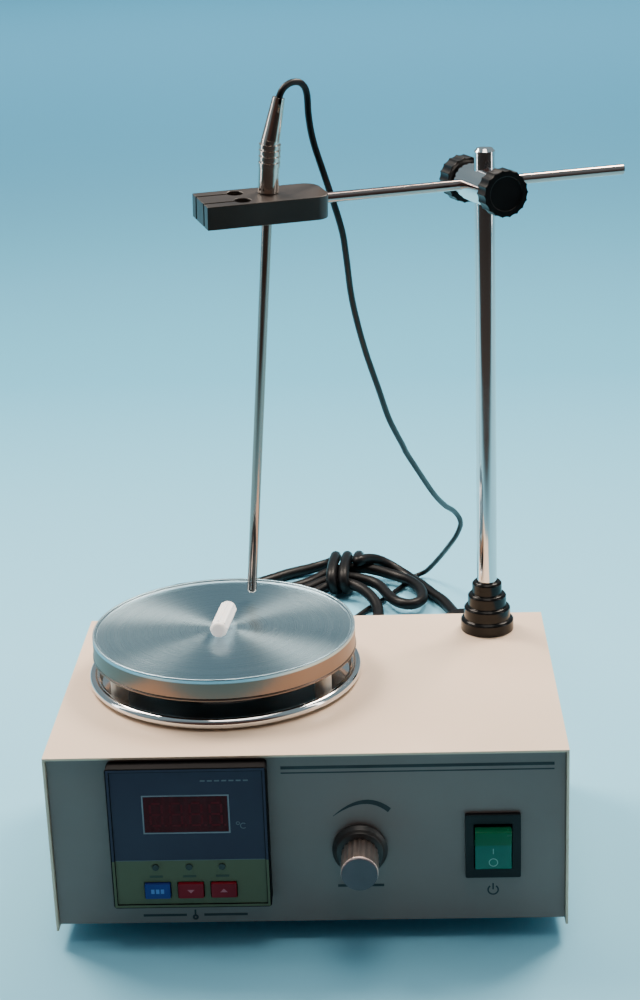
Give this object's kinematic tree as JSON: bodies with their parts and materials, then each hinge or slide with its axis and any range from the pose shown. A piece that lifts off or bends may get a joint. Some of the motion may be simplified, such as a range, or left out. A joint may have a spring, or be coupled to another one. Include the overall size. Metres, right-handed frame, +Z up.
{
  "type": "magnetic stirrer",
  "caption": "Hot-plate magnetic stirrer: box housing, round heated plate, temperature controller, speed knob, rocker switch, rod stand with cross clamp, arm and temperature probe.",
  "frame": {"origin": "on the table, under the middle of the footprint of the stirrer and its stand, cords left out", "axes": "+Z up, front panel towards -Y, rod stand at the back right, +X to the right"},
  "size_m": [0.2782, 0.5011, 0.3782],
  "materials": {
    "cover_paint": "satin powder coat",
    "chassis_steel": "zinc plated",
    "panel_film": "printed matt film",
    "foot_rubber": "matt",
    "screw_zinc": "bright zinc",
    "plate_steel": "turned, radial sheen",
    "mica": "pressed sheet",
    "insulation": "fibre board",
    "white_ceramic": "unglazed",
    "bright_chrome": "polished",
    "motor_paint": "satin",
    "magnet_nickel": "nickel",
    "ptfe": "moulded",
    "bezel_plastic": "fine texture",
    "face_film": "printed film",
    "window_red": "tinted",
    "led_plastic": "clear",
    "segment_grey": "matt",
    "board_green": "solder mask",
    "key_blue": "moulded",
    "key_red": "moulded",
    "pot_metal": "plated",
    "knob_metal": "fluted, anodised",
    "knob_insert": "satin",
    "switch_black": "moulded",
    "rocker_green": "translucent",
    "iron_core": "varnished",
    "black_plastic": "moulded",
    "boot_rubber": "glossy",
    "cord_pvc": "satin PVC",
    "holder_resin": "moulded resin",
    "probe_steel": "polished stainless",
    "nickel": "nickel plated"
  },
  "bodies": {
    "root": {"housing_cover": "cover_paint", "chassis_tray": "chassis_steel", "front_overlay": "panel_film", "rubber_feet": "foot_rubber", "case_screws": "screw_zinc", "hot_plate": "plate_steel", "heater_element": "mica", "insulation_pad": "insulation", "heater_backing": "chassis_steel", "plate_standoffs": "white_ceramic", "plate_screws": "screw_zinc", "drip_ring": "bright_chrome", "motor_bracket": "chassis_steel", "motor_body": "motor_paint", "motor_bearings": "bright_chrome", "motor_screws": "screw_zinc", "controller_case": "bezel_plastic", "controller_bezel": "bezel_plastic", "controller_faceplate": "face_film", "display_window": "window_red", "digit_module": "segment_grey", "indicator_leds": "led_plastic", "controller_board": "board_green", "controller_clamp": "black_plastic", "potentiometer": "pot_metal", "switch_frame": "switch_black", "speed_board": "board_green", "transformer": "iron_core", "fuse_holder": "black_plastic", "sensor_socket": "nickel", "rod_socket": "chassis_steel", "rod_boot": "boot_rubber", "sensor_plug": "black_plastic", "sensor_cable_lead": "cord_pvc", "cord_gland": "boot_rubber", "power_cord": "cord_pvc", "cord_hank": "cord_pvc", "mains_plug": "black_plastic"},
    "rotor": {"motor_shaft": "pot_metal", "magnet_carrier": "pot_metal", "drive_magnets": "magnet_nickel"},
    "stirrer": {"stir_bar": "ptfe", "stir_magnet": "magnet_nickel"},
    "set_key": {"set_button": "key_blue"},
    "down_key": {"down_button": "key_red"},
    "up_key": {"up_button": "key_red"},
    "speed_dial": {"speed_knob": "knob_metal", "knob_cap": "knob_insert", "pot_shaft": "pot_metal"},
    "rocker": {"switch_rocker": "rocker_green"},
    "rod": {"support_rod": "bright_chrome"},
    "clamp": {"clamp_body": "bright_chrome"},
    "rod_thumb_screw": {"rod_clamp_knob": "black_plastic"},
    "arm_thumb_screw": {"arm_clamp_knob": "black_plastic"},
    "arm": {"cross_arm": "bright_chrome", "sensor_cable_drop": "cord_pvc"},
    "holder": {"probe_holder": "holder_resin"},
    "probe": {"probe_tube": "probe_steel", "probe_sleeve": "nickel", "sensor_cable_top": "cord_pvc"}
  },
  "joints": [
    {"name": "rotor_spin", "type": "hinge", "parent": "root", "child": "rotor", "pos_m": [-0.0613, 0.01221, 0.096], "axis": [0, 0, 1], "continuous": true},
    {"name": "stir_bar_spin", "type": "hinge", "parent": "root", "child": "stirrer", "pos_m": [-0.0613, 0.01221, 0.1245], "axis": [0, 0, 1], "continuous": true},
    {"name": "set_key_press", "type": "slide", "parent": "root", "child": "set_key", "axis": [0, 1, 0], "range_m": [0, 0.0006], "stiffness_N_per_m": 800, "springref_m": -0.0004},
    {"name": "down_key_press", "type": "slide", "parent": "root", "child": "down_key", "axis": [0, 1, 0], "range_m": [0, 0.0006], "stiffness_N_per_m": 800, "springref_m": -0.0004},
    {"name": "up_key_press", "type": "slide", "parent": "root", "child": "up_key", "axis": [0, 1, 0], "range_m": [0, 0.0006], "stiffness_N_per_m": 800, "springref_m": -0.0004},
    {"name": "speed_dial_turn", "type": "hinge", "parent": "root", "child": "speed_dial", "pos_m": [0.00361, -0.07609, 0.048], "axis": [0, 1, 0], "range_deg": [0, 300]},
    {"name": "power_rocker_tilt", "type": "hinge", "parent": "root", "child": "rocker", "pos_m": [0.0636, -0.07459, 0.0486], "axis": [-1, 0, 0], "range_deg": [0, 14]},
    {"name": "clamp_swing", "type": "hinge", "parent": "root", "child": "rod", "pos_m": [0.06871, 0.06211, 0], "axis": [0, 0, 1], "range_deg": [-45, 75]},
    {"name": "clamp_height", "type": "slide", "parent": "rod", "child": "clamp", "axis": [0, 0, 1], "range_m": [-0.003, 0.007]},
    {"name": "rod_screw_turn", "type": "hinge", "parent": "clamp", "child": "rod_thumb_screw", "pos_m": [0.06871, 0.06211, 0.3222], "axis": [0.3584, -0.9336, 0], "range_deg": [0, 270]},
    {"name": "arm_screw_turn", "type": "hinge", "parent": "clamp", "child": "arm_thumb_screw", "pos_m": [0.06871, 0.06211, 0.3222], "axis": [-0.3584, 0.9336, 0], "range_deg": [0, 270]},
    {"name": "arm_reach", "type": "slide", "parent": "clamp", "child": "arm", "axis": [-0.9336, -0.3584, 0], "range_m": [-0.04, 0.055]},
    {"name": "holder_roll", "type": "hinge", "parent": "arm", "child": "holder", "pos_m": [0.06548, 0.07051, 0.3222], "axis": [0.9336, 0.3584, 0], "range_deg": [-40, 40]},
    {"name": "probe_lift", "type": "slide", "parent": "holder", "child": "probe", "axis": [0.0863, -0.0787, 0.9932], "range_m": [0, 0.1]}
  ],
  "couplings": [
    {"joint": "stir_bar_spin", "follows": "rotor_spin", "ratio": 1}
  ]
}
